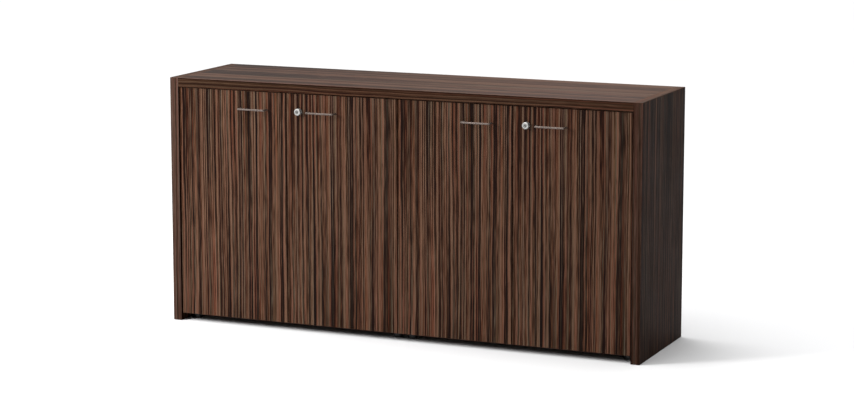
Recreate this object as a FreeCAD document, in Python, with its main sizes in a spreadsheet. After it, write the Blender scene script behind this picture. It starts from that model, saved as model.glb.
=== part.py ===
import FreeCAD, Part
import math
import os
import Sketcher

# Low office cabinet. Two carcasses stand side by side on round feet, between two end panels that reach
# the floor and under a top panel. Four doors hang on concealed hinges, each with a bow handle, and the
# right-hand door of each pair has a cam lock.
# X runs to the right, Y to the back and Z up, from the middle of the footprint on the floor.

SIZES = {
    # Outside
    "overall_width": 1660,
    "overall_height": 828,
    "panel_depth": 434,
    "end_panel_thickness": 30,
    "top_panel_thickness": 30,
    "panel_edge_radius": 1,
    # Carcass boards and their dowels
    "board_thickness": 18,
    "back_thickness": 8,
    "back_inset": 12,
    "groove_depth": 6,
    "groove_clearance": 0.2,
    "dowel_radius": 4,
    "dowel_length": 34,
    "dowel_in_side": 12,
    "dowel_inset": 60,
    "dowel_clearance": 0.05,
    # Shelf and the pins that carry it
    "shelf_thickness": 25,
    "shelf_setback": 40,
    "shelf_side_gap": 1,
    "shelf_back_gap": 2,
    "pin_hole_pitch": 32,
    "pin_hole_depth": 12,
    "pin_front_inset": 37,
    "pin_rear_inset": 80,
    "shelf_pin_radius": 2.5,
    "shelf_pin_depth": 10,
    "tongue_length": 9,
    "tongue_width": 9,
    "tongue_thickness": 3,
    # Feet
    "foot_height": 27,
    "foot_radius": 16,
    "foot_chamfer": 1.5,
    "foot_side_inset": 26,
    "foot_front_inset": 42,
    "foot_seat_height": 8,
    "foot_recess_radius": 7,
    "foot_screw_radius": 2.5,
    "foot_screw_reach": 12,
    "foot_screw_head_radius": 5,
    "foot_screw_head_height": 3,
    # Screws that hold the end panels and the top panel
    "panel_screw_radius": 2,
    "panel_screw_reach": 14,
    "panel_screw_head_radius": 4.5,
    "panel_screw_head_height": 2.5,
    "panel_screw_inset": 100,
    "panel_screw_rise": 200,
    "panel_screw_spread": 150,
    "screw_clearance": 0.05,
    "hole_spare_depth": 1,
    # Bolts and sleeves that join the two carcasses
    "bolt_radius": 3,
    "bolt_length": 30,
    "sleeve_radius": 4,
    "sleeve_length": 32,
    "bolt_head_radius": 7,
    "bolt_head_height": 2,
    "bolt_inset": 75,
    "bolt_rise": 150,
    # Doors
    "door_thickness": 19,
    "door_recess": 5,
    "door_side_gap": 3,
    "door_gap": 3,
    "door_top_gap": 2.5,
    "door_back_gap": 4,
    "door_drop": 2,
    "door_edge_radius": 2,
    "bumper_radius": 4,
    "bumper_clearance": 0.3,
    "bumper_inset": 30,
    # Hinges: the pin lies inside the door, in a cup let into its back
    "hinge_end_distance": 100,
    "hinge_pin_inset": 10,
    "hinge_pin_depth": 7,
    "hinge_pin_radius": 1.5,
    "hinge_pin_clearance": 0.05,
    "cup_radius": 17.5,
    "cup_inset": 21.5,
    "cup_depth": 15.5,
    "cup_wall": 0.8,
    "cup_clearance": 0.05,
    "flange_thickness": 1.2,
    "flange_half_height": 31,
    "flange_tail": 12,
    "cup_screw_rise": 24,
    "cup_screw_radius": 1.75,
    "cup_screw_reach": 11,
    "cup_screw_head_radius": 3.5,
    "cup_screw_head_height": 1.5,
    "lug_half_width": 3,
    "lug_thickness": 3,
    "lug_clearance": 0.3,
    "eye_radius": 2.4,
    "eye_half_height": 5.2,
    "nose_thickness": 3,
    "arm_thickness": 3.5,
    "arm_clearance": 1.3,
    "plate_setback": 37,
    "plate_front_length": 16,
    "plate_rear_length": 24,
    "plate_half_height": 7,
    "wing_half_width": 8,
    "wing_half_height": 23,
    "wing_thickness": 3,
    # Screws of the hinge plates and of the strikes
    "fitting_screw_rise": 16,
    "fitting_screw_radius": 3,
    "fitting_screw_length": 14,
    "fitting_screw_head_radius": 5,
    "fitting_screw_head_height": 2,
    # Handles
    "handle_drop": 59,
    "left_handle_distance": 118.5,
    "right_handle_distance": 128.5,
    "handle_centres": 96,
    "handle_radius": 3,
    "handle_projection": 28,
    "handle_bend_radius": 4.5,
    "handle_hole_depth": 12,
    "handle_screw_radius": 1.5,
    "handle_screw_reach": 10,
    "handle_screw_head_radius": 3.5,
    "handle_screw_head_height": 2,
    # Locks
    "lock_distance": 45.5,
    "lock_rim_radius": 11,
    "lock_rim_length": 16,
    "lock_rim_chamfer": 1.5,
    "lock_barrel_radius": 9,
    "lock_thread_spare": 3,
    "lock_bore_clearance": 0.1,
    "lock_nut_radius": 13.5,
    "lock_nut_thickness": 5,
    "plug_radius": 6,
    "plug_clearance": 0.05,
    "plug_recess": 0.8,
    "plug_cap_radius": 5,
    "plug_cap_thickness": 1.5,
    "keyway_half_width": 0.9,
    "keyway_half_height": 3.6,
    "keyway_depth": 16,
    "cam_thickness": 2.5,
    "cam_hub_radius": 8,
    "cam_half_width": 6,
    "cam_length": 38,
    "cam_square_half": 3,
    "cam_clearance": 0.1,
    # Strikes that the cams turn behind
    "strike_half_width": 16,
    "strike_thickness": 2,
    "strike_drop": 24,
    "strike_depth": 24,
    "strike_clearance": 1.2,
    "strike_screw_half_spread": 9,
    "strike_screw_setback": 14,
}

SHELF_PIN_ROWS = 9
SCREW_SOCKET_SHARE = 0.5
HEXAGON_SHARES = ((1, 0), (0.5, 0.866), (-0.5, 0.866), (-1, 0), (-0.5, -0.866), (0.5, -0.866))
KEYWAY_TILT_DEGREES = 45
PLANES = {"X": ("YZ_Plane", 1), "Y": ("XZ_Plane", -1), "Z": ("XY_Plane", 1)}
DIRECTIONS = {
    "+X": FreeCAD.Vector(1, 0, 0), "-X": FreeCAD.Vector(-1, 0, 0),
    "+Y": FreeCAD.Vector(0, 1, 0), "-Y": FreeCAD.Vector(0, -1, 0),
    "+Z": FreeCAD.Vector(0, 0, 1), "-Z": FreeCAD.Vector(0, 0, -1),
}
UPRIGHT = FreeCAD.Rotation()
TURNED = FreeCAD.Rotation(DIRECTIONS["+Y"], 180)

doc = FreeCAD.newDocument("LowCabinet")
sheet = doc.addObject("Spreadsheet::Sheet", "Sizes")
for row, (alias, value) in enumerate(SIZES.items(), start=1):
    sheet.set(f"A{row}", alias)
    sheet.set(f"B{row}", str(value))
    sheet.setAlias(f"B{row}", alias)
doc.recompute()


class Length:
    """A length as a formula on the sheet's cells, with its present value beside it."""

    def __init__(self, formula, value):
        self.formula = formula
        self.value = value

    def __add__(self, other):
        return Length(f"({self.formula} + {other.formula})", self.value + other.value)

    def __sub__(self, other):
        return Length(f"({self.formula} - {other.formula})", self.value - other.value)

    def __mul__(self, share):
        return Length(f"({self.formula} * {share})", self.value * share)

    def __truediv__(self, count):
        return Length(f"({self.formula} / {count})", self.value / count)

    def __neg__(self):
        return self * -1


class Cells:
    """The sheet's cells as lengths, by their names."""

    def __getattr__(self, alias):
        return Length(f"{sheet.Name}.{alias}", SIZES[alias])


size = Cells()
ZERO = Length("0", 0)

node_labels = []
cuts = []


def new_body(label):
    """An empty body under the piece's own name."""
    body = doc.addObject("PartDesign::Body", label)
    body.Label = label
    return body


def as_node(piece):
    """Count a finished object among the cabinet's pieces."""
    node_labels.append(piece.Name)
    return piece


def place(piece, spot, rotation=UPRIGHT):
    """Tie a piece's place to the sheet."""
    piece.Placement = FreeCAD.Placement(FreeCAD.Vector(), rotation)
    for axis, length in zip("xyz", spot):
        piece.setExpression(f"Placement.Base.{axis}", length.formula)


def new_sketch(body, axis, level):
    """A sketch square to an axis of the body, at a level along that axis."""
    role, sense = PLANES[axis]
    plane = next(feature for feature in body.Origin.OriginFeatures if feature.Role == role)
    sketch = body.newObject("Sketcher::SketchObject", "Sketch")
    sketch.AttachmentSupport = (plane, [""])
    sketch.MapMode = "FlatFace"
    sketch.setExpression("AttachmentOffset.Base.z", (level * sense).formula)
    return sketch


def tie_point(sketch, geometry, end, point):
    """Tie a point of a sketch to the sheet, both ways from the sketch's origin."""
    for kind, own_axis, length in zip(("DistanceX", "DistanceY"), (-2, -1), point):
        if length is ZERO:
            sketch.addConstraint(Sketcher.Constraint("PointOnObject", geometry, end, own_axis))
        else:
            tie = Sketcher.Constraint(kind, -1, 1, geometry, end, length.value)
            sketch.setExpression(f"Constraints[{sketch.addConstraint(tie)}]", length.formula)


def tie_radius(sketch, geometry, radius):
    """Tie the radius of a circle or an arc to the sheet."""
    tie = Sketcher.Constraint("Radius", geometry, radius.value)
    sketch.setExpression(f"Constraints[{sketch.addConstraint(tie)}]", radius.formula)


def flat(point):
    """A sketch point at its present place."""
    return FreeCAD.Vector(point[0].value, point[1].value, 0)


def draw_circle(sketch, centre, radius):
    circle = sketch.addGeometry(Part.Circle(flat(centre), DIRECTIONS["+Z"], radius.value), False)
    tie_radius(sketch, circle, radius)
    tie_point(sketch, circle, 3, centre)


def draw_outline(sketch, points):
    """A closed outline of straight lines."""
    lines = []
    for start, end in zip(points, points[1:] + points[:1]):
        lines.append(sketch.addGeometry(Part.LineSegment(flat(start), flat(end)), False))
    for line, follower in zip(lines, lines[1:] + lines[:1]):
        sketch.addConstraint(Sketcher.Constraint("Coincident", line, 2, follower, 1))
    for line, start in zip(lines, points):
        tie_point(sketch, line, 1, start)


def rectangle(low, high):
    return [low, (high[0], low[1]), high, (low[0], high[1])]


def extrude(body, kind, towards, level, length, circles=(), outlines=()):
    """A pad or a pocket from a level along an axis, in the given direction."""
    sketch = new_sketch(body, towards[1], level)
    for centre, radius in circles:
        draw_circle(sketch, centre, radius)
    for points in outlines:
        draw_outline(sketch, points)
    step = body.newObject(f"PartDesign::{kind}", kind)
    step.Profile = sketch
    step.setExpression("Length", length.formula)
    along_normal = (towards[0] == "+") == (PLANES[towards[1]][1] == 1)
    if kind == "Pad":
        step.Reversed = not along_normal
    else:
        step.Reversed = along_normal
        cuts.append(step)
    return step


def revolve(body, axis, points):
    """A turned piece: points are radius and place along the body's axis, Y or Z."""
    sketch = new_sketch(body, "Z" if axis == "Y" else "Y", ZERO)
    draw_outline(sketch, points)
    step = body.newObject("PartDesign::Revolution", "Revolution")
    step.Profile = sketch
    step.ReferenceAxis = (sketch, ["V_Axis"])
    return step


def round_edges(body, step, radius, chosen):
    """Round the chosen edges of a step with one radius."""
    doc.recompute()
    names = [f"Edge{number}" for number, edge in enumerate(step.Shape.Edges, start=1) if chosen(edge)]
    fillet = body.newObject("PartDesign::Fillet", "Fillet")
    fillet.Base = (step, names)
    fillet.setExpression("Radius", radius.formula)
    return fillet


def runs_in_face(edge):
    """Whether an edge lies in a board's front or back face, not through its thickness along Y."""
    return abs(edge.Vertexes[0].Y - edge.Vertexes[1].Y) < edge.Length / 2


class Board:
    """A rectangular board between two corners of the cabinet's frame."""

    def __init__(self, label, low, high):
        self.body = as_node(new_body(label))
        self.low = low
        self.span = [end - start for start, end in zip(low, high)]
        self.block = extrude(self.body, "Pad", "+Z", ZERO, self.span[2],
                             outlines=[rectangle((ZERO, ZERO), (self.span[0], self.span[1]))])
        place(self.body, low)

    def inside(self, axis, point):
        """A point of the cabinet's frame, as seen in the plane square to an axis of the board."""
        across, up = [number for number in range(3) if "XYZ"[number] != axis]
        return (point[0] - self.low[across], point[1] - self.low[up])

    def bore(self, towards, mouth, depth, radius, centres):
        """Round holes from a mouth level, with centres in the cabinet's frame."""
        level = mouth - self.low["XYZ".index(towards[1])]
        circles = [(self.inside(towards[1], centre), radius) for centre in centres]
        return extrude(self.body, "Pocket", towards, level, depth, circles=circles)

    def groove(self, towards, mouth, depth, low, high):
        """A rectangular groove from a mouth level, between two points in the cabinet's frame."""
        level = mouth - self.low["XYZ".index(towards[1])]
        corners = rectangle(self.inside(towards[1], low), self.inside(towards[1], high))
        return extrude(self.body, "Pocket", towards, level, depth, outlines=[corners])


def group(label, copies):
    """One node of separate like solids: copies are master, place and rotation."""
    links = []
    for master, spot, rotation in copies:
        link = doc.addObject("App::Link", f"{label}_copy")
        link.LinkedObject = master
        place(link, spot, rotation)
        links.append(link)
    compound = doc.addObject("Part::Compound", label)
    compound.Label = label
    compound.Links = links
    return as_node(compound)


def pointing(towards):
    """The rotation that points a screw's shank in a direction."""
    return FreeCAD.Rotation(DIRECTIONS["-Z"], DIRECTIONS[towards])


def screw_master(name, radius, length, head_radius, head_height):
    """A pan head screw with a hexagon socket: its head seats at zero, its shank points down."""
    body = new_body(name)
    revolve(body, "Z", [
        (ZERO, -length), (radius, -length), (radius, ZERO), (head_radius, ZERO),
        (head_radius, head_height / 2), (head_radius - head_height / 2, head_height), (ZERO, head_height),
    ])
    socket = radius * SCREW_SOCKET_SHARE
    hexagon = [(socket * across, socket * up if up else ZERO) for across, up in HEXAGON_SHARES]
    extrude(body, "Pocket", "-Z", head_height, head_height / 2, outlines=[hexagon])
    return body


# Planes and lines that the pieces share
half_width = size.overall_width / 2
module_width = half_width - size.end_panel_thickness
front_y = (size.handle_projection - size.door_recess - size.panel_depth) / 2
back_y = front_y + size.panel_depth
door_front_y = front_y + size.door_recess
door_back_y = door_front_y + size.door_thickness
carcass_front_y = door_back_y + size.door_back_gap
top_under_z = size.overall_height - size.top_panel_thickness
bottom_inner_z = size.foot_height + size.board_thickness
top_inner_z = top_under_z - size.board_thickness
back_inner_y = back_y - size.back_inset - size.back_thickness
groove_low_y = back_inner_y - size.groove_clearance
groove_high_y = back_y - size.back_inset + size.groove_clearance
door_low_z = size.foot_height - size.door_drop
door_high_z = top_under_z - size.door_top_gap
hinge_heights = (door_low_z + size.hinge_end_distance, door_high_z - size.hinge_end_distance)
handle_z = door_high_z - size.handle_drop
dowel_ys = (carcass_front_y + size.dowel_inset, back_y - size.dowel_inset)
dowel_zs = (size.foot_height + size.board_thickness / 2, top_under_z - size.board_thickness / 2)
panel_screw_ys = (carcass_front_y + size.panel_screw_inset, back_y - size.panel_screw_inset)
panel_screw_zs = (size.foot_height + size.panel_screw_rise, top_under_z - size.panel_screw_rise)
bolt_ys = (carcass_front_y + size.bolt_inset, back_y - size.bolt_inset)
bolt_zs = (size.foot_height + size.bolt_rise, top_under_z - size.bolt_rise)
foot_ys = (carcass_front_y + size.foot_front_inset, back_y - size.foot_front_inset)
plate_y = carcass_front_y + size.plate_setback
inner_middle_z = (bottom_inner_z + top_inner_z) / 2
shelf_low_z = inner_middle_z - size.shelf_thickness / 2
shelf_pin_z = shelf_low_z - size.shelf_pin_radius
shelf_pin_ys = (carcass_front_y + size.pin_front_inset, back_y - size.pin_rear_inset)
first_pin_z = shelf_pin_z - size.pin_hole_pitch * (SHELF_PIN_ROWS // 2)
lock_barrel_length = size.door_thickness + size.lock_nut_thickness + size.lock_thread_spare
cam_front_y = door_front_y + lock_barrel_length + size.cam_clearance
strike_back_y = cam_front_y - size.strike_clearance
strike_front_y = strike_back_y - size.strike_thickness
strike_screw_y = strike_front_y + size.strike_screw_setback

# Doors from left to right: the edge that carries the hinges, the sense from there to the meeting edge,
# the distance of the handle from the meeting edge, and the lock, if the door has one
door_width = (module_width - size.door_side_gap - size.door_gap - size.door_gap / 2) / 2
outer_edge_x = module_width - size.door_side_gap
inner_edge_x = size.door_gap / 2
DOORS = (
    ("door_1", -outer_edge_x, 1, size.left_handle_distance, None),
    ("door_2", -inner_edge_x, -1, size.right_handle_distance, "left_lock"),
    ("door_3", inner_edge_x, 1, size.left_handle_distance, None),
    ("door_4", outer_edge_x, -1, size.right_handle_distance, "right_lock"),
)
lock_xs = tuple(
    hinge_x + (door_width - size.lock_distance) * sense for _, hinge_x, sense, _, lock in DOORS if lock)
MODULES = (
    ("left_carcass", -module_width, "outer", "inner"),
    ("right_carcass", ZERO, "inner", "outer"),
)

# Screws, one master for each kind
panel_screw = screw_master("PanelScrew", size.panel_screw_radius,
                           size.board_thickness + size.panel_screw_reach,
                           size.panel_screw_head_radius, size.panel_screw_head_height)
foot_screw = screw_master("FootScrew", size.foot_screw_radius,
                          size.foot_height - size.foot_seat_height + size.foot_screw_reach,
                          size.foot_screw_head_radius, size.foot_screw_head_height)
fitting_screw = screw_master("FittingScrew", size.fitting_screw_radius, size.fitting_screw_length,
                             size.fitting_screw_head_radius, size.fitting_screw_head_height)
cup_screw = screw_master("CupScrew", size.cup_screw_radius,
                         size.flange_thickness + size.cup_screw_reach,
                         size.cup_screw_head_radius, size.cup_screw_head_height)
handle_screw = screw_master("HandleScrew", size.handle_screw_radius,
                            size.door_thickness + size.handle_screw_reach,
                            size.handle_screw_head_radius, size.handle_screw_head_height)
joining_bolt = screw_master("JoiningBolt", size.bolt_radius, size.bolt_length,
                            size.bolt_head_radius, size.bolt_head_height)
panel_hole_radius = size.panel_screw_radius + size.screw_clearance
fitting_hole_radius = size.fitting_screw_radius + size.screw_clearance
dowel_hole_radius = size.dowel_radius + size.dowel_clearance

# End panels: boards with softened edges, drilled on the inside for the screws from the carcass
for label, low_x, inner_x, towards in (
    ("end_panel_left", -half_width, -module_width, "-X"),
    ("end_panel_right", module_width, module_width, "+X"),
):
    panel = Board(label, (low_x, front_y, ZERO),
                  (low_x + size.end_panel_thickness, back_y, size.overall_height))
    round_edges(panel.body, panel.block, size.panel_edge_radius, lambda edge: True)
    panel.bore(towards, inner_x, size.panel_screw_reach + size.hole_spare_depth, panel_hole_radius,
               [(y, z) for y in panel_screw_ys for z in panel_screw_zs])

# Top panel: lies on the carcasses between the end panels, drilled from below
top_screw_xs = [
    left_x + inset for _, left_x, _, _ in MODULES
    for inset in (size.panel_screw_spread, module_width - size.panel_screw_spread)]
top_panel = Board("top_panel", (-module_width, front_y, top_under_z),
                  (module_width, back_y, size.overall_height))
round_edges(top_panel.body, top_panel.block, size.panel_edge_radius, runs_in_face)
top_panel.bore("+Z", top_under_z, size.panel_screw_reach + size.hole_spare_depth, panel_hole_radius,
               [(x, y) for x in top_screw_xs for y in panel_screw_ys])

# Carcasses: sides, top and bottom held by dowels, with the back in a groove all round
for name, left_x, left_kind, right_kind in MODULES:
    right_x = left_x + module_width
    inner_left_x = left_x + size.board_thickness
    inner_right_x = right_x - size.board_thickness
    for kind, low_x, inner_x, into_board in (
        (left_kind, left_x, inner_left_x, "-X"),
        (right_kind, inner_right_x, inner_right_x, "+X"),
    ):
        side = Board(f"{name}_{kind}_side", (low_x, carcass_front_y, size.foot_height),
                     (low_x + size.board_thickness, back_y, top_under_z))
        side.groove(into_board, inner_x, size.groove_depth,
                    (groove_low_y, size.foot_height), (groove_high_y, top_under_z))
        side.bore(into_board, inner_x, size.dowel_in_side + size.hole_spare_depth, dowel_hole_radius,
                  [(y, z) for y in dowel_ys for z in dowel_zs])
        side.bore(into_board, inner_x,
                  size.fitting_screw_length - size.wing_thickness + size.hole_spare_depth,
                  fitting_hole_radius,
                  [(plate_y, z + rise) for z in hinge_heights
                   for rise in (size.fitting_screw_rise, -size.fitting_screw_rise)])
        if kind == "outer":
            side.bore(into_board, inner_x, size.board_thickness, panel_hole_radius,
                      [(y, z) for y in panel_screw_ys for z in panel_screw_zs])
        else:
            side.bore(into_board, inner_x, size.board_thickness, size.sleeve_radius + size.screw_clearance,
                      [(y, z) for y in bolt_ys for z in bolt_zs])
        lowest_holes = side.bore(into_board, inner_x, size.pin_hole_depth,
                                 size.shelf_pin_radius + size.screw_clearance,
                                 [(y, first_pin_z) for y in shelf_pin_ys])
        rows = side.body.newObject("PartDesign::LinearPattern", "PinRows")
        rows.Originals = [lowest_holes]
        rows.Direction = (lowest_holes.Profile[0], ["V_Axis"])
        rows.Occurrences = SHELF_PIN_ROWS
        rows.setExpression("Length", (size.pin_hole_pitch * (SHELF_PIN_ROWS - 1)).formula)
        side.body.Tip = rows

    bottom = Board(f"{name}_bottom", (inner_left_x, carcass_front_y, size.foot_height),
                   (inner_right_x, back_y, bottom_inner_z))
    cover = Board(f"{name}_top", (inner_left_x, carcass_front_y, top_inner_z),
                  (inner_right_x, back_y, top_under_z))
    dowel_in_board = size.dowel_length - size.dowel_in_side + size.hole_spare_depth
    for board, inner_z, into_board, dowel_z in (
        (bottom, bottom_inner_z, "-Z", dowel_zs[0]),
        (cover, top_inner_z, "+Z", dowel_zs[1]),
    ):
        board.groove(into_board, inner_z, size.groove_depth,
                     (inner_left_x, groove_low_y), (inner_right_x, groove_high_y))
        for end_x, towards in ((inner_left_x, "+X"), (inner_right_x, "-X")):
            board.bore(towards, end_x, dowel_in_board, dowel_hole_radius,
                       [(y, dowel_z) for y in dowel_ys])
    foot_xs = (left_x + size.foot_side_inset, right_x - size.foot_side_inset)
    bottom.bore("+Z", size.foot_height, size.foot_screw_reach + size.hole_spare_depth,
                size.foot_screw_radius + size.screw_clearance,
                [(x, y) for x in foot_xs for y in foot_ys])
    cover.bore("+Z", top_inner_z, size.board_thickness, panel_hole_radius,
               [(x, y) for x in (left_x + size.panel_screw_spread, right_x - size.panel_screw_spread)
                for y in panel_screw_ys])
    lock_x = lock_xs[0] if left_x is not ZERO else lock_xs[1]
    cover.bore("+Z", top_inner_z,
               size.fitting_screw_length - size.strike_thickness + size.hole_spare_depth,
               fitting_hole_radius,
               [(lock_x + spread, strike_screw_y)
                for spread in (size.strike_screw_half_spread, -size.strike_screw_half_spread)])

    tongue = size.groove_depth - size.groove_clearance
    Board(f"{name}_back", (inner_left_x - tongue, back_inner_y, bottom_inner_z - tongue),
          (inner_right_x + tongue, back_y - size.back_inset, top_inner_z + tongue))
    Board(f"{name}_shelf",
          (inner_left_x + size.shelf_side_gap, carcass_front_y + size.shelf_setback, shelf_low_z),
          (inner_right_x - size.shelf_side_gap, back_inner_y - size.shelf_back_gap,
           shelf_low_z + size.shelf_thickness))

# Dowels: plain rods between each side and the boards that meet it
dowel = new_body("Dowel")
extrude(dowel, "Pad", "+X", -size.dowel_in_side, size.dowel_length,
        circles=[((ZERO, ZERO), size.dowel_radius)])
group("carcass_dowels", [
    (dowel, (left_x + inset, y, z), rotation)
    for _, left_x, _, _ in MODULES
    for inset, rotation in ((size.board_thickness, UPRIGHT), (module_width - size.board_thickness, TURNED))
    for y in dowel_ys for z in dowel_zs])

# Shelf pins: a round pin in the side, with a flat tongue that the shelf lies on
shelf_pin = new_body("ShelfPin")
extrude(shelf_pin, "Pad", "-X", ZERO, size.shelf_pin_depth, circles=[((ZERO, ZERO), size.shelf_pin_radius)])
extrude(shelf_pin, "Pad", "+X", ZERO, size.tongue_length, outlines=[rectangle(
    (-size.tongue_width / 2, size.shelf_pin_radius - size.tongue_thickness),
    (size.tongue_width / 2, size.shelf_pin_radius))])
half_turn = FreeCAD.Rotation(DIRECTIONS["+Z"], 180)
group("shelf_pins", [
    (shelf_pin, (left_x + inset, y, shelf_pin_z), rotation)
    for _, left_x, _, _ in MODULES
    for inset, rotation in ((size.board_thickness, UPRIGHT), (module_width - size.board_thickness, half_turn))
    for y in shelf_pin_ys])

# Joining bolts: a bolt from one carcass turns into a sleeve from the other
sleeve = new_body("Sleeve")
revolve(sleeve, "Z", [
    (size.bolt_radius + size.screw_clearance, -size.sleeve_length), (size.sleeve_radius, -size.sleeve_length),
    (size.sleeve_radius, ZERO), (size.bolt_head_radius, ZERO), (size.bolt_head_radius, size.bolt_head_height),
    (size.bolt_radius + size.screw_clearance, size.bolt_head_height)])
group("joining_bolts", [
    (master, (x, y, z), pointing(towards))
    for master, x, towards in ((joining_bolt, size.board_thickness, "-X"),
                               (sleeve, -size.board_thickness, "+X"))
    for y in bolt_ys for z in bolt_zs])

# Screws of the end panels, from inside the outer sides, and of the top panel, from below
group("end_panel_screws", [
    (panel_screw, (x, y, z), pointing(towards))
    for x, towards in ((size.board_thickness - module_width, "-X"),
                       (module_width - size.board_thickness, "+X"))
    for y in panel_screw_ys for z in panel_screw_zs])
group("top_panel_screws", [
    (panel_screw, (x, y, top_inner_z), pointing("+Z")) for x in top_screw_xs for y in panel_screw_ys])

# Feet: turned stubs with a screw up the middle into the carcass bottom
foot = new_body("Foot")
foot_hole_radius = size.foot_screw_radius + size.screw_clearance
revolve(foot, "Z", [
    (foot_hole_radius, size.foot_seat_height), (size.foot_recess_radius, size.foot_seat_height),
    (size.foot_recess_radius, ZERO), (size.foot_radius - size.foot_chamfer, ZERO),
    (size.foot_radius, size.foot_chamfer), (size.foot_radius, size.foot_height),
    (foot_hole_radius, size.foot_height)])
foot_spots = [
    (left_x + inset, y) for _, left_x, _, _ in MODULES
    for inset in (size.foot_side_inset, module_width - size.foot_side_inset) for y in foot_ys]
group("feet", [(foot, (x, y, ZERO), UPRIGHT) for x, y in foot_spots])
group("foot_screws", [
    (foot_screw, (x, y, size.foot_seat_height), pointing("+Z")) for x, y in foot_spots])

# Bumpers: soft discs on the front edges of the carcass tops and bottoms, near each meeting edge
bumper = new_body("Bumper")
extrude(bumper, "Pad", "-Y", ZERO, size.door_back_gap - size.bumper_clearance,
        circles=[((ZERO, ZERO), size.bumper_radius)])
group("door_bumpers", [
    (bumper, (hinge_x + (door_width - size.bumper_inset) * sense, carcass_front_y, z), UPRIGHT)
    for _, hinge_x, sense, _, _ in DOORS for z in dowel_zs])

# Hinges: masters stand on the axis of the cup, in the plane of the door's back, with the pin to the left
pin_x = size.hinge_pin_inset - size.cup_inset
pin_y = size.hinge_pin_depth - size.door_thickness
cup_bottom_y = size.cup_clearance - size.cup_depth
cup_outer_radius = size.cup_radius - size.cup_clearance
cup_inner_radius = cup_outer_radius - size.cup_wall
cup = new_body("HingeCup")
extrude(cup, "Pad", "+Y", ZERO, size.flange_thickness, outlines=[rectangle(
    (-size.cup_radius, -size.flange_half_height), (size.flange_tail, size.flange_half_height))])
extrude(cup, "Pad", "-Y", ZERO, -cup_bottom_y, circles=[((ZERO, ZERO), cup_outer_radius)])
extrude(cup, "Pocket", "-Y", size.flange_thickness,
        size.flange_thickness - cup_bottom_y - size.cup_wall, circles=[((ZERO, ZERO), cup_inner_radius)])
lug_low_z = size.eye_half_height + size.lug_clearance
for sense in (1, -1):
    near, far = lug_low_z * sense, (lug_low_z + size.lug_thickness) * sense
    extrude(cup, "Pad", "+Y", cup_bottom_y, pin_y + size.lug_half_width - cup_bottom_y,
            outlines=[rectangle((pin_x - size.lug_half_width, near), (pin_x + size.lug_half_width, far))])
pin_half_height = lug_low_z + size.lug_thickness
extrude(cup, "Pocket", "+Z", -pin_half_height, pin_half_height * 2,
        circles=[((pin_x, pin_y), size.hinge_pin_radius + size.hinge_pin_clearance)])
extrude(cup, "Pocket", "-Y", size.flange_thickness, size.flange_thickness,
        circles=[((ZERO, rise), size.cup_screw_radius + size.screw_clearance)
                 for rise in (size.cup_screw_rise, -size.cup_screw_rise)])

hinge_pin = new_body("HingePin")
extrude(hinge_pin, "Pad", "+Z", -pin_half_height, pin_half_height * 2,
        circles=[((pin_x, pin_y), size.hinge_pin_radius)])

arm_lift = size.door_thickness - size.hinge_pin_depth + size.flange_thickness + size.arm_clearance
arm_inner_x = pin_x + arm_lift
arm_outer_x = arm_inner_x + size.arm_thickness
nose_front_y = pin_y - size.nose_thickness / 2
nose_back_y = pin_y + size.nose_thickness / 2
plate_screw_y = size.door_back_gap + size.plate_setback
plate_back_y = plate_screw_y + size.plate_rear_length
arm = new_body("HingeArm")
extrude(arm, "Pad", "+Z", -size.eye_half_height, size.eye_half_height * 2, outlines=[[
    (pin_x, nose_front_y), (arm_outer_x, nose_front_y), (arm_outer_x, plate_back_y),
    (arm_inner_x, plate_back_y), (arm_inner_x, nose_back_y), (pin_x, nose_back_y)]])
extrude(arm, "Pad", "+Z", -size.eye_half_height, size.eye_half_height * 2,
        circles=[((pin_x, pin_y), size.eye_radius)])
extrude(arm, "Pocket", "+Z", -size.eye_half_height, size.eye_half_height * 2,
        circles=[((pin_x, pin_y), size.hinge_pin_radius + size.hinge_pin_clearance)])


def plate_master(name, board_x):
    """A cross-shaped mounting plate from the face of a carcass side up to the hinge arm."""
    body = new_body(name)
    extrude(body, "Pad", "+X", board_x, arm_inner_x - board_x, outlines=[rectangle(
        (plate_screw_y - size.plate_front_length, -size.plate_half_height),
        (plate_back_y, size.plate_half_height))])
    extrude(body, "Pad", "+X", board_x, size.wing_thickness, outlines=[rectangle(
        (plate_screw_y - size.wing_half_width, -size.wing_half_height),
        (plate_screw_y + size.wing_half_width, size.wing_half_height))])
    extrude(body, "Pocket", "+X", board_x, size.wing_thickness,
            circles=[((plate_screw_y, rise), fitting_hole_radius)
                     for rise in (size.fitting_screw_rise, -size.fitting_screw_rise)])
    return body


outer_board_x = size.board_thickness - size.door_side_gap - size.cup_inset
inner_board_x = size.board_thickness - size.door_gap / 2 - size.cup_inset
outer_plate = plate_master("OuterHingePlate", outer_board_x)
inner_plate = plate_master("InnerHingePlate", inner_board_x)
hinges = []
for _, hinge_x, sense, _, _ in DOORS:
    is_outer = hinge_x.formula in (outer_edge_x.formula, (-outer_edge_x).formula)
    for z in hinge_heights:
        spot = (hinge_x + size.cup_inset * sense, door_back_y, z)
        hinges.append((spot, sense, outer_plate if is_outer else inner_plate,
                       outer_board_x if is_outer else inner_board_x))
group("hinge_arms", [(arm, spot, UPRIGHT if sense > 0 else TURNED) for spot, sense, _, _ in hinges])
group("hinge_plates", [(plate, spot, UPRIGHT if sense > 0 else TURNED) for spot, sense, plate, _ in hinges])

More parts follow.
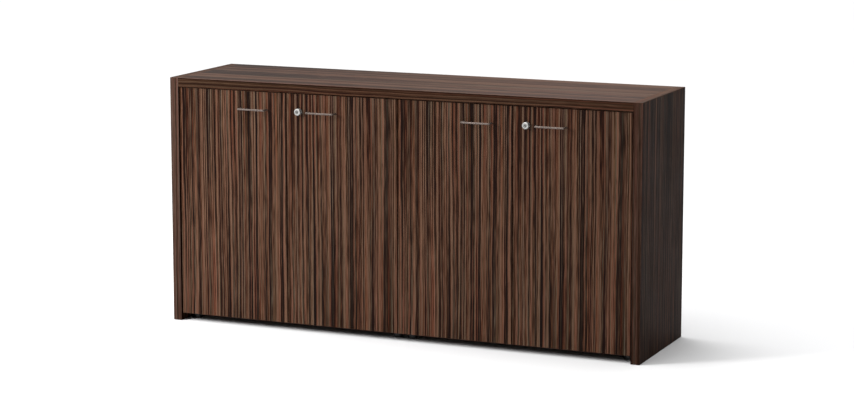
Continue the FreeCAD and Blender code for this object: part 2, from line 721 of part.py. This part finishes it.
# Strikes: angle brackets under the carcass tops, in front of the raised cams
strike = new_body("Strike")
extrude(strike, "Pad", "+X", -size.strike_half_width, size.strike_half_width * 2, outlines=[[
    (ZERO, ZERO), (ZERO, -size.strike_drop), (size.strike_thickness, -size.strike_drop),
    (size.strike_thickness, -size.strike_thickness), (size.strike_depth, -size.strike_thickness),
    (size.strike_depth, ZERO)]])
extrude(strike, "Pocket", "+Z", -size.strike_thickness, size.strike_thickness,
        circles=[((spread, size.strike_screw_setback), fitting_hole_radius)
                 for spread in (size.strike_screw_half_spread, -size.strike_screw_half_spread)])
group("lock_strikes", [(strike, (x, strike_front_y, top_inner_z), UPRIGHT) for x in lock_xs])
group("fitting_screws", [
    (fitting_screw, (spot[0] + (board_x + size.wing_thickness) * sense, plate_y, spot[2] + rise),
     pointing("-X" if sense > 0 else "+X"))
    for spot, sense, _, board_x in hinges
    for rise in (size.fitting_screw_rise, -size.fitting_screw_rise)
] + [
    (fitting_screw, (x + spread, strike_screw_y, top_inner_z - size.strike_thickness), pointing("+Z"))
    for x in lock_xs for spread in (size.strike_screw_half_spread, -size.strike_screw_half_spread)])

# Handle: a round bar bent twice, with a threaded hole up each leg, its legs standing on the door's face
bar_y = size.handle_radius - size.handle_projection
leg_x = size.handle_centres / 2
bend = size.handle_bend_radius
handle = new_body("BowHandle")
path = new_sketch(handle, "Z", ZERO)
left_leg_end, left_bar_end = (-leg_x, bar_y + bend), (bend - leg_x, bar_y)
right_bar_end, right_leg_end = (leg_x - bend, bar_y), (leg_x, bar_y + bend)
left_bend = Part.Circle(flat((bend - leg_x, bar_y + bend)), DIRECTIONS["+Z"], bend.value)
right_bend = Part.Circle(flat((leg_x - bend, bar_y + bend)), DIRECTIONS["+Z"], bend.value)
route = [path.addGeometry(piece, False) for piece in (
    Part.LineSegment(flat((-leg_x, ZERO)), flat(left_leg_end)),
    Part.ArcOfCircle(left_bend, math.pi, 1.5 * math.pi),
    Part.LineSegment(flat(left_bar_end), flat(right_bar_end)),
    Part.ArcOfCircle(right_bend, 1.5 * math.pi, 2 * math.pi),
    Part.LineSegment(flat(right_leg_end), flat((leg_x, ZERO))))]
for piece, follower in zip(route, route[1:]):
    path.addConstraint(Sketcher.Constraint("Coincident", piece, 2, follower, 1))
tie_point(path, route[0], 1, (-leg_x, ZERO))
tie_point(path, route[4], 2, (leg_x, ZERO))
for arc, start, end in ((route[1], left_leg_end, left_bar_end), (route[3], right_bar_end, right_leg_end)):
    tie_point(path, arc, 1, start)
    tie_point(path, arc, 2, end)
    tie_radius(path, arc, bend)
section = new_sketch(handle, "Y", ZERO)
draw_circle(section, (-leg_x, ZERO), size.handle_radius)
bar = handle.newObject("PartDesign::AdditivePipe", "Bar")
bar.Profile = section
bar.Spine = path
extrude(handle, "Pocket", "-Y", ZERO, size.handle_hole_depth,
        circles=[((x, ZERO), size.handle_screw_radius + size.screw_clearance) for x in (-leg_x, leg_x)])

# Lock: a turned housing through the door, held by a nut, with a plug that turns a cam behind the door
plug_front_y = size.plug_recess - size.lock_rim_length
plug_bore_radius = size.plug_radius + size.plug_clearance
square_length = size.cam_thickness + size.cam_clearance * 2
housing = new_body("LockHousing")
revolve(housing, "Y", [
    (plug_bore_radius, -size.lock_rim_length),
    (size.lock_rim_radius - size.lock_rim_chamfer, -size.lock_rim_length),
    (size.lock_rim_radius, size.lock_rim_chamfer - size.lock_rim_length),
    (size.lock_rim_radius, ZERO), (size.lock_barrel_radius, ZERO),
    (size.lock_barrel_radius, lock_barrel_length), (plug_bore_radius, lock_barrel_length)])
nut = new_body("LockNut")
extrude(nut, "Pad", "+Y", size.door_thickness, size.lock_nut_thickness, outlines=[[
    (size.lock_nut_radius * across, size.lock_nut_radius * up if up else ZERO)
    for across, up in HEXAGON_SHARES]])
extrude(nut, "Pocket", "+Y", size.door_thickness, size.lock_nut_thickness,
        circles=[((ZERO, ZERO), size.lock_barrel_radius + size.screw_clearance)])
plug = new_body("LockPlug")
revolve(plug, "Y", [
    (ZERO, plug_front_y), (size.plug_radius, plug_front_y),
    (size.plug_radius, lock_barrel_length), (ZERO, lock_barrel_length)])
extrude(plug, "Pad", "+Y", lock_barrel_length, square_length, outlines=[rectangle(
    (-size.cam_square_half, -size.cam_square_half), (size.cam_square_half, size.cam_square_half))])
extrude(plug, "Pad", "+Y", lock_barrel_length + square_length, size.plug_cap_thickness,
        circles=[((ZERO, ZERO), size.plug_cap_radius)])
keyway = extrude(plug, "Pocket", "+Y", plug_front_y, size.keyway_depth, outlines=[rectangle(
    (-size.keyway_half_width, -size.keyway_half_height), (size.keyway_half_width, size.keyway_half_height))])
keyway.Profile[0].AttachmentOffset = FreeCAD.Placement(
    FreeCAD.Vector(), FreeCAD.Rotation(DIRECTIONS["+Z"], KEYWAY_TILT_DEGREES))
cam = new_body("LockCam")
cam_y = lock_barrel_length + size.cam_clearance
cam_tip_x = size.cam_length - size.cam_half_width
extrude(cam, "Pad", "+Y", cam_y, size.cam_thickness, circles=[((ZERO, ZERO), size.cam_hub_radius)])
extrude(cam, "Pad", "+Y", cam_y, size.cam_thickness, outlines=[rectangle(
    (ZERO, -size.cam_half_width), (cam_tip_x, size.cam_half_width))])
extrude(cam, "Pad", "+Y", cam_y, size.cam_thickness, circles=[((cam_tip_x, ZERO), size.cam_half_width)])
cam_hole_half = size.cam_square_half + size.cam_clearance
extrude(cam, "Pocket", "+Y", cam_y, size.cam_thickness, outlines=[rectangle(
    (-cam_hole_half, -cam_hole_half), (cam_hole_half, cam_hole_half))])

# Doors: boards with rounded edge bands, bored for the cups, the handle screws and the lock
for name, hinge_x, sense, handle_distance, lock in DOORS:
    meeting_x = hinge_x + door_width * sense
    low_x, high_x = (hinge_x, meeting_x) if sense > 0 else (meeting_x, hinge_x)
    door = Board(f"{name}_panel", (low_x, door_front_y, door_low_z), (high_x, door_back_y, door_high_z))
    round_edges(door.body, door.block, size.door_edge_radius, runs_in_face)
    cup_x = hinge_x + size.cup_inset * sense
    cup_screw_spots = [(cup_x, z + rise) for z in hinge_heights
                       for rise in (size.cup_screw_rise, -size.cup_screw_rise)]
    handle_x = meeting_x - handle_distance * sense
    handle_screw_xs = (handle_x - leg_x, handle_x + leg_x)
    door.bore("-Y", door_back_y, size.cup_depth, size.cup_radius, [(cup_x, z) for z in hinge_heights])
    door.bore("-Y", door_back_y, size.cup_screw_reach + size.hole_spare_depth,
              size.cup_screw_radius + size.screw_clearance, cup_screw_spots)
    door.bore("-Y", door_back_y, size.door_thickness, size.handle_screw_radius + size.screw_clearance,
              [(x, handle_z) for x in handle_screw_xs])
    facing = UPRIGHT if sense > 0 else TURNED
    hinge_spots = [(cup_x, door_back_y, z) for z in hinge_heights]
    group(f"{name}_hinge_cups", [(cup, spot, facing) for spot in hinge_spots])
    group(f"{name}_hinge_pins", [(hinge_pin, spot, facing) for spot in hinge_spots])
    group(f"{name}_cup_screws", [
        (cup_screw, (x, door_back_y + size.flange_thickness, z), pointing("-Y")) for x, z in cup_screw_spots])
    group(f"{name}_handle", [(handle, (handle_x, door_front_y, handle_z), UPRIGHT)])
    group(f"{name}_handle_screws", [
        (handle_screw, (x, door_back_y, handle_z), pointing("-Y")) for x in handle_screw_xs])
    if lock:
        lock_x = meeting_x - size.lock_distance * sense
        door.bore("-Y", door_back_y, size.door_thickness, size.lock_barrel_radius + size.lock_bore_clearance,
                  [(lock_x, handle_z)])
        for piece, master in (("housing", housing), ("nut", nut), ("plug", plug), ("cam", cam)):
            group(f"{lock}_{piece}", [(master, (lock_x, door_front_y, handle_z), UPRIGHT)])

# Write nothing unless every step worked
doc.recompute()
failed = [item.Label for item in doc.Objects if "Invalid" in item.State or "Error" in item.State]
if failed:
    raise RuntimeError(f"steps that failed: {failed}")
for step in cuts:
    if step.Shape.Volume >= step.BaseFeature.Shape.Volume:
        raise RuntimeError(f"{step.Label} cuts nothing")
os.makedirs("parts", exist_ok=True)
for label in node_labels:
    shape = doc.getObject(label).Shape
    if shape.isNull() or not shape.isValid() or not shape.Solids:
        raise RuntimeError(f"{label} has no sound solid")
    shape.exportStep(f"parts/{label}.step")
    print(f"{label}: {len(shape.Solids)} solids, {shape.Volume / 1000:.1f} cm3")
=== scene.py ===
import math

import bmesh
import bpy
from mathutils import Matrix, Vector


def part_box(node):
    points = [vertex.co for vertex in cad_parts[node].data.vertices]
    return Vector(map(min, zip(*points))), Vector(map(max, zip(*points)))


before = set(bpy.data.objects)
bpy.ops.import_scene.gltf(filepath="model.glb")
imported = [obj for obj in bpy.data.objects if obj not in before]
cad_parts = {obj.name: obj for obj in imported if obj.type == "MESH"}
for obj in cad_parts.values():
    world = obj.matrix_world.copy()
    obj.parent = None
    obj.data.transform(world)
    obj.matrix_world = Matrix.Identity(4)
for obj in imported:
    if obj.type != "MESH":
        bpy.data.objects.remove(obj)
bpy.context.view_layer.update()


# Carcass boards: sides, bottoms, tops and shelves of two boxes, standing side by side.
# Chipboard, faced on both sides with printed decor paper under melamine resin, with glued edge bands.
# Dowels hold the boards, and the shelves lie loose on pins.
class Wire:
    """One output of a finish's nodes. Sums on values add Math nodes, and sums on places Vector Math."""

    def __init__(self, socket):
        self.socket = socket

    def feed(self, sockets):
        """Gives sockets of this output's own node a value, or a wire."""
        own = self.socket.node
        for name, value in sockets.items():
            if isinstance(value, Wire):
                own.id_data.links.new(value.socket, own.inputs[name])
            else:
                own.inputs[name].default_value = value
        return self

    def node(self, kind, settings, sockets, output=0):
        """Adds a node: its settings first, then its sockets."""
        new = self.socket.id_data.nodes.new("ShaderNode" + kind)
        for name, value in settings.items():
            if name == "stops":
                ramp = new.color_ramp.elements
                while len(ramp) < len(value):
                    ramp.new(1.0)
                for stop, (position, colour) in zip(ramp, value):
                    stop.position = position
                    stop.color = colour
            else:
                setattr(new, name, value)
        return Wire(new.outputs[output]).feed(sockets)

    def work(self, operation, *terms):
        """Adds a node that works out a sum of wires and numbers."""
        places = any(isinstance(term, Wire) and term.socket.type == "VECTOR" for term in terms)
        kind = "VectorMath" if places else "Math"
        return self.node(kind, {"operation": operation}, dict(enumerate(terms)))

    def __add__(self, other):
        return self.work("ADD", self, other)

    __radd__ = __add__

    def __sub__(self, other):
        return self.work("SUBTRACT", self, other)

    def __rsub__(self, other):
        return self.work("SUBTRACT", other, self)

    def __mul__(self, other):
        return self.work("MULTIPLY", self, other)

    __rmul__ = __mul__

    def __abs__(self):
        return self.work("ABSOLUTE", self)

    def rise(self, low, high):
        """0 below low, 1 above high, and smooth between."""
        limits = {"Value": self, "From Min": low, "From Max": high}
        return self.node("MapRange", {"interpolation_type": "SMOOTHSTEP"}, limits)

    def parts(self):
        """The three values of a place."""
        apart = self.node("SeparateXYZ", {}, {"Vector": self})
        return [Wire(socket) for socket in apart.socket.node.outputs]

    def noise(self, rates, seed, detail=2.0):
        """Noise from 0 to 1 at a place, at so many turns a metre along each axis."""
        x, y, z = self.parts()
        turns = {"X": x * rates[0], "Y": y * rates[1], "Z": z * rates[2] + seed}
        spot = self.node("CombineXYZ", {}, turns)
        pattern = {"Vector": spot, "Scale": 1.0, "Detail": detail, "Roughness": 0.55}
        return self.node("TexNoise", {}, pattern)

    def coloured(self, *stops):
        """The colour at this value, between stops of a position and a colour."""
        return self.node("ValToRGB", {"stops": stops}, {"Fac": self})

    def stained(self, colour, share, blend="MIX"):
        """This colour, with a share of another over it."""
        colours = {0: share, 6: self, 7: colour}
        return self.node("Mix", {"data_type": "RGBA", "blend_type": blend}, colours, 2)

    def raised(self, strength, distance):
        """The tilt of a surface that rises with this value."""
        rough = {"Strength": strength, "Distance": distance, "Height": self}
        return self.node("Bump", {}, rough)


def new_finish(name):
    """A new material, its surface shader's output, and the place on the piece."""
    material = bpy.data.materials.new(name)
    material.use_nodes = True
    surface = Wire(material.node_tree.nodes["Principled BSDF"].outputs[0])
    return material, surface, surface.node("TexCoord", {}, {}, "Object")


def tint(red, green, blue):
    """A colour from its printed values, 0 to 255."""
    gamma = 2.2
    return (*((part / 255) ** gamma for part in (red, green, blue)), 1.0)


def dress(material, *nodes):
    """Puts a finish on every material slot of these nodes."""
    for node in nodes:
        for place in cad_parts[node].material_slots:
            place.material = material


X, Y, Z = range(3)


def striped_decor(
    name, node, grain, run, slip=0.0, seed=0.0, strength=0.9, broad=(40, 1.5),
    edge_tone=0.0, painted_face_light_and_shade=0.0, painted_arris_shade=0.0, polish=0.04, edge_cast=(1.0, 1.0, 1.0, 1.0),
):
    """Ebony stripes along the grain of a board. On its ends, an edge band has them along the run.

    slip moves the print across the board, and broad is the rate and weight of the widest stripes.
    Tones above 0 are lighter, and the face tone is painted light and shade on the broad faces. A line of
    painted shade darkens the upper side of the edge bands, under the rounded arris.
    """
    thick = X + Y + Z - grain - run
    low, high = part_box(node)
    material, surface, place = new_finish(name)
    axes = place.parts()
    facing = surface.node("TexCoord", {}, {}, "Normal").parts()
    square_on = (0.6, 0.8)
    end = abs(facing[grain]).rise(*square_on)
    edge = abs(facing[run]).rise(*square_on)
    face = abs(facing[thick]).rise(*square_on)
    upward = facing[Z].rise(*square_on)
    grain_middle = (low[grain] + high[grain]) / 2
    along = (axes[grain] - grain_middle) * (1 - end) + axes[run] * end
    across = (axes[run] + slip) * (1 - end) + axes[thick]

    # The print: stripes from wide to fine, that wander a little across the board.
    sway_width, ripple_width = 0.011, 0.0035
    flat = surface.node("CombineXYZ", {}, {"X": across, "Y": along, "Z": 0.0})
    sway = (flat.noise((6, 2.2, 0), seed + 3.1, 1.0) - 0.5) * sway_width
    ripple = (flat.noise((34, 7, 0), seed + 7.7, 1.0) - 0.5) * ripple_width
    flat = surface.node("CombineXYZ", {}, {"X": across + sway + ripple, "Y": along, "Z": 0.0})
    broad_rate, broad_weight = broad
    bands = flat.noise((broad_rate, 0.25, 0), seed + 11, 0.0)
    stripes = flat.noise((75, 0.3, 0), seed + 17, 0.0)
    lines = flat.noise((145, 0.4, 0), seed + 23, 0.0)
    threads = flat.noise((250, 0.7, 0), seed + 29, 0.0)
    hairs = flat.noise((420, 12.0, 0), seed + 37, 1.0)
    pores = flat.noise((1500, 22, 0), seed + 31.7, 1.0).rise(0.58, 0.72)

    # How light the print is: calmer on the edge bands. The broad faces get painted light and shade, and the
    # edge bands get a line of painted shade along their upper side, under the rounded arris.
    stripe_weight, line_weight, thread_weight, hair_weight = 1.3, 2.4, 3.1, 1.8
    middle_tone, edge_calm = 0.55, 0.62
    arris_shade_start, arris_shade_stop = 0.001, 0.006
    wide = (bands - 0.5) * broad_weight + (stripes - 0.5) * stripe_weight + (lines - 0.5) * line_weight
    print_tone = wide + (threads - 0.5) * thread_weight + (hairs - 0.5) * hair_weight
    calm = 1 - edge * edge_calm
    tone = print_tone * calm * strength + middle_tone + edge * edge_tone + face * painted_face_light_and_shade
    # Painted shade: a dark line along the upper side of each edge band, under the rounded arris.
    upper_side = 1 - (high[thick] - axes[thick]).rise(arris_shade_start, arris_shade_stop)
    tone = tone - edge * upper_side * painted_arris_shade

    # The colours: dark to light brown, then red and grey streaks in the light stripes.
    wood = tone.coloured(
        (0.05, tint(26, 16, 13)),
        (0.22, tint(35, 22, 16)),
        (0.38, tint(46, 31, 22)),
        (0.52, tint(56, 39, 30)),
        (0.68, tint(67, 49, 38)),
        (0.95, tint(84, 64, 52)),
    )
    red_brown, grey_brown = tint(63, 39, 30), tint(49, 39, 32)
    hue = flat.noise((120, 0.9, 0), seed + 41, 1.0)
    lit = tone.rise(0.25, 0.6) * (1 - edge * 0.5)
    wood = wood.stained(red_brown, hue.rise(0.48, 0.62) * lit * 0.6)
    wood = wood.stained(grey_brown, (1 - hue.rise(0.38, 0.50)) * lit * 0.4)

    # Casts over the colours: wide dark bands are neutral, and thin dark lines are ruddy.
    warm, cool = (1.16, 0.93, 0.92, 1.0), (0.90, 1.05, 1.06, 1.0)
    neutral, ruddy = (0.82, 1.05, 1.22, 1.0), (1.12, 0.96, 0.80, 1.0)
    cast = flat.noise((260, 1.1, 0), seed + 47, 1.0)
    dark_bands = (1 - wide.rise(-0.40, 0.0)) * (1 - edge) * (1 - upward)
    dark_lines = (1 - threads.rise(0.36, 0.48)) * wide.rise(-0.25, 0.1) * (1 - edge)
    wood = wood.stained(warm, cast.rise(0.48, 0.66), "MULTIPLY")
    wood = wood.stained(cool, 1 - cast.rise(0.34, 0.52), "MULTIPLY")
    wood = wood.stained(neutral, dark_bands, "MULTIPLY")
    wood = wood.stained(ruddy, dark_lines, "MULTIPLY")
    wood = wood.stained(edge_cast, edge, "MULTIPLY")

    # Pores, and arrises that hands have rubbed paler.
    pore_black, rubbed_brown = tint(20, 12, 8), tint(83, 62, 53)
    arris_width = 0.003
    wood = wood.stained(pore_black, pores * 0.55)
    close = []
    for axis, spot in enumerate(axes):
        centre = (low[axis] + high[axis]) / 2
        half = (high[axis] - low[axis]) / 2
        close.append(1 - (half - abs(spot - centre)).rise(0.0, arris_width))
    arris = close[0] * close[1] + close[1] * close[2] + close[0] * close[2]
    rubbed = arris * place.noise((60, 60, 60), seed + 51.1).rise(0.35, 0.7)
    wood = wood.stained(rubbed_brown, rubbed * 0.25)

    # The resin: nearly matt, uneven from pores and hands, and wiped to a soft sheen where it lies level.
    matt, sheen = 0.44, 0.34
    smudge = place.noise((7, 7, 7), seed + 61.9, 3.0)
    roughness = matt + pores * 0.12 + (smudge - 0.5) * 0.16 + (lines - 0.5) * 0.10 + rubbed * 0.12
    wiped = upward * (sheen + (smudge - 0.5) * 0.25)
    bump = (threads * 0.5 - pores).raised(strength=0.25, distance=0.0002)
    surface.feed({"Base Color": wood, "Roughness": roughness, "Specular IOR Level": polish, "Normal": bump})
    surface.feed({"Coat Weight": wiped, "Coat Roughness": 0.4, "Coat IOR": 1.4})
    dress(material, node)


for side in ("left", "right"):
    for part in ("outer_side", "inner_side"):
        striped_decor(f"{side}_{part}_decor", f"{side}_carcass_{part}", grain=Z, run=Y, seed=5.0)
    for part in ("bottom", "top", "shelf"):
        striped_decor(f"{side}_{part}_decor", f"{side}_carcass_{part}", grain=X, run=Y, seed=9.0)


# Backs: thin hardboard sheets, printed with the decor, that slide into grooves in the boards
# and close each carcass behind.
for side in ("left", "right"):
    striped_decor(f"{side}_back_decor", f"{side}_carcass_back", grain=Z, run=X, seed=14.0, strength=0.8)


# Dowels and shelf pins: beech rods glued into the boards, and steel pins, zinc plated,
# pushed into the rows of holes.
def beech_finish():
    """Pale wood, with its grain along the rod."""
    material, surface, place = new_finish("beech")
    grain = place.noise((12, 700, 700), 2.0, 2.0)
    wood = grain.coloured((0.35, tint(170, 126, 88)), (0.65, tint(206, 168, 128)))
    bump = grain.raised(strength=0.3, distance=0.0002)
    surface.feed({"Base Color": wood, "Roughness": 0.5 + grain * 0.2, "Normal": bump})
    return material


def metal_finish(name, light, dark, roughness, mark_rates, scratch, metallic=1.0):
    """Bare or plated metal: two tones in soft clouds, with fine marks from brushing along X or tumbling."""
    material, surface, place = new_finish(name)
    clouds = place.noise((90, 90, 90), 4.0, 3.0)
    marks = place.noise(mark_rates, 8.0, 2.0)
    metal = (clouds * 0.6 + marks * 0.4).coloured((0.3, dark), (0.7, light))
    gloss = roughness + (marks - 0.5) * scratch + (clouds - 0.5) * 0.12
    bump = marks.raised(strength=0.12, distance=0.0001)
    surface.feed({"Base Color": metal, "Metallic": metallic, "Roughness": gloss, "Normal": bump})
    return material


dress(beech_finish(), "carcass_dowels")
zinc = metal_finish(
    "zinc_plating", light=tint(172, 175, 178), dark=tint(138, 140, 140),
    roughness=0.38, mark_rates=(900, 900, 900), scratch=0.2,
)
dress(zinc, "shelf_pins")


# Bolts and screws: zinc plated steel. Bolts in sleeves join the carcasses, and screws from inside
# hold the end panels, the top panel and the fittings.
dress(zinc, "joining_bolts", "end_panel_screws", "top_panel_screws", "fitting_screws")


# Feet: turned black plastic stubs under the carcasses. A screw through the middle of each
# holds it up against the carcass bottom.
def black_plastic():
    """Black plastic with a fine grain and a little dust."""
    material, surface, place = new_finish("black_plastic")
    grain = place.noise((1400, 1400, 1400), 1.0, 1.0)
    dust = place.noise((60, 60, 60), 6.0, 3.0)
    black = dust.coloured((0.35, tint(16, 16, 17)), (0.75, tint(34, 33, 32)))
    bump = grain.raised(strength=0.3, distance=0.0001)
    surface.feed({"Base Color": black, "Roughness": 0.36 + dust * 0.25, "Normal": bump})
    return material


dress(black_plastic(), "feet")
dress(zinc, "foot_screws")


# End panels: thick boards with softened edges, from the floor to the top, screwed on from inside.
# The stripes stand upright on the faces and front edges, and run back along the upper ends.
panel_edge_cast = (0.88, 1.03, 1.3, 1.0)
# Painted shade and light: both end panels have their broad faces painted darker, and the front edge of the
# left panel is painted a little lighter and that of the right panel darker.
for side, seed, edge_tone in (("left", 20.0, 0.03), ("right", 26.0, -0.18)):
    striped_decor(
        f"{side}_end_panel_decor", f"end_panel_{side}", grain=Z, run=Y, seed=seed,
        edge_tone=edge_tone, painted_face_light_and_shade=-0.29, polish=0.01, edge_cast=panel_edge_cast,
    )


# Top panel: a thick board between the end panels, level with them, with the stripes from end to end.
# Screws through the carcass tops hold it from below.
# Painted light and shade: the top panel's upper and lower faces are painted a little lighter, and a line of
# painted shade runs along the top of its front and back edges, under the rounded arris.
striped_decor(
    "top_panel_decor", "top_panel", grain=X, run=Y, seed=31.0, strength=0.72, broad=(22, 2.0),
    edge_tone=-0.26, painted_face_light_and_shade=0.05, painted_arris_shade=0.45,
)


# Hinges: pressed steel, nickel plated. Plates and arms are screwed to the carcass sides, and cups
# are let into the backs of the doors, on a pin.
hinge_steel = metal_finish(
    "hinge_steel", light=tint(206, 203, 198), dark=tint(170, 166, 160),
    roughness=0.28, mark_rates=(40, 700, 700), scratch=0.16,
)
dress(hinge_steel, "hinge_arms", "hinge_plates")
for door in range(1, 5):
    dress(hinge_steel, f"door_{door}_hinge_cups", f"door_{door}_hinge_pins")
    dress(zinc, f"door_{door}_cup_screws")


# Doors: four boards with rounded edge bands. The stripes run upright and on across each pair of doors,
# and both pairs are cut from the same print.
pair_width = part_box("door_3_panel")[0][X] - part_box("door_1_panel")[0][X]
for door in range(1, 5):
    slip = -pair_width if door > 2 else 0.0
    striped_decor(f"door_{door}_decor", f"door_{door}_panel", grain=Z, run=X, slip=slip, seed=43.0)


# Bumpers: soft clear discs, stuck to the front edges of the carcasses,
# where the doors close on them.
def bumper_rubber():
    """Pale soft plastic that has gathered some dust."""
    material, surface, place = new_finish("bumper_rubber")
    dust = place.noise((300, 300, 300), 3.0, 3.0)
    rubber = dust.coloured((0.3, tint(120, 118, 112)), (0.7, tint(152, 150, 144)))
    surface.feed({"Base Color": rubber, "Roughness": 0.35 + dust * 0.3})
    return material


dress(bumper_rubber(), "door_bumpers")


# Handles: round bar bent at both ends, satin nickel, with the brushing along the bar.
# Screws through the door turn into the legs.
satin_nickel = metal_finish(
    "satin_nickel", light=tint(132, 120, 114), dark=tint(99, 90, 85),
    roughness=0.58, mark_rates=(60, 2200, 2200), scratch=0.2,
)
for door in range(1, 5):
    dress(satin_nickel, f"door_{door}_handle")
    dress(zinc, f"door_{door}_handle_screws")


# Locks: turned housings through the doors, polished nickel, with a plug that a flat key turns.
# A nut holds each housing, and the cam behind the door moves up behind a steel strike.
polished_nickel = metal_finish(
    "polished_nickel", light=tint(174, 174, 172), dark=tint(149, 148, 145),
    roughness=0.3, mark_rates=(500, 500, 500), scratch=0.14, metallic=0.6,
)
plug_metal = metal_finish(
    "lock_plug_metal", light=tint(148, 148, 146), dark=tint(119, 119, 117),
    roughness=0.34, mark_rates=(900, 900, 900), scratch=0.18,
)
for side in ("left", "right"):
    dress(polished_nickel, f"{side}_lock_housing")
    dress(plug_metal, f"{side}_lock_plug")
    dress(zinc, f"{side}_lock_cam", f"{side}_lock_nut")
dress(zinc, "lock_strikes")


# Studio: a plain pale floor, one broad soft light from above, a softbox at the left,
# a small one over the top panel and a weak fill all round. The camera stands at the front right.
def pale_floor():
    """A floor that reaches past the picture on all sides."""
    reach = 40.0
    mesh = bpy.data.meshes.new("floor")
    shape = bmesh.new()
    turns = ((-1, -1), (1, -1), (1, 1), (-1, 1))
    shape.faces.new([shape.verts.new((x * reach, y * reach, 0.0)) for x, y in turns])
    shape.to_mesh(mesh)
    shape.free()
    material, surface, place = new_finish("pale_floor")
    clouds = place.noise((0.9, 0.9, 0.9), 1.0, 2.0)
    pale = clouds.coloured((0.3, tint(196, 196, 197)), (0.7, tint(200, 200, 200)))
    surface.feed({"Base Color": pale, "Roughness": 0.7})
    mesh.materials.append(material)
    floor = bpy.data.objects.new("floor", mesh)
    bpy.context.scene.collection.objects.link(floor)


def lamp(name, kind, place, aim, power, mirrored=True, **settings):
    """A light that shines from a place to an aim. It isn't seen itself, but may be mirrored in the metal."""
    data = bpy.data.lights.new(name, kind)
    data.energy = power
    for key, value in settings.items():
        setattr(data, key, value)
    new = bpy.data.objects.new(name, data)
    bpy.context.scene.collection.objects.link(new)
    new.location = place
    towards = [b - a for a, b in zip(place, aim)]
    level = math.hypot(towards[X], towards[Y])
    tilt, turn = math.atan2(level, -towards[Z]), math.atan2(-towards[X], towards[Y])
    new.rotation_euler = (tilt, 0.0, turn)
    new.visible_camera = False
    new.visible_glossy = mirrored


pale_floor()
lamp(
    "overhead", "SUN", place=(-1.2, -0.2, 4.0), aim=(0.0, 0.0, 0.0),
    power=5.2, angle=math.radians(80),
)
lamp(
    "left_softbox", "AREA", place=(-2.6, -2.6, 2.0), aim=(-0.2, -0.2, 0.4),
    power=240.0, mirrored=False, shape="RECTANGLE", size=0.9, size_y=1.6,
)
lamp(
    "top_softbox", "AREA", place=(0.3, 0.5, 1.9), aim=(0.3, 0.1, 0.83),
    power=8.0, shape="DISK", size=0.8,
)
world = bpy.data.worlds.new("studio")
world.use_nodes = True
fill = world.node_tree.nodes["Background"].inputs
fill["Color"].default_value = (1.0, 1.0, 1.0, 1.0)
fill["Strength"].default_value = 0.25
bpy.context.scene.world = world
bpy.context.scene.view_settings.view_transform = "Standard"

lens = bpy.data.cameras.new("camera")
lens.sensor_width = 36.0
lens.lens = 102.07
lens.shift_y = -0.05
camera = bpy.data.objects.new("camera", lens)
bpy.context.scene.collection.objects.link(camera)
tilt_down, turn_left = 8.890, 23.393
camera.location = (3.152, -7.246, 1.798)
camera.rotation_euler = (math.radians(90 - tilt_down), 0.0, math.radians(turn_left))
bpy.context.scene.camera = camera
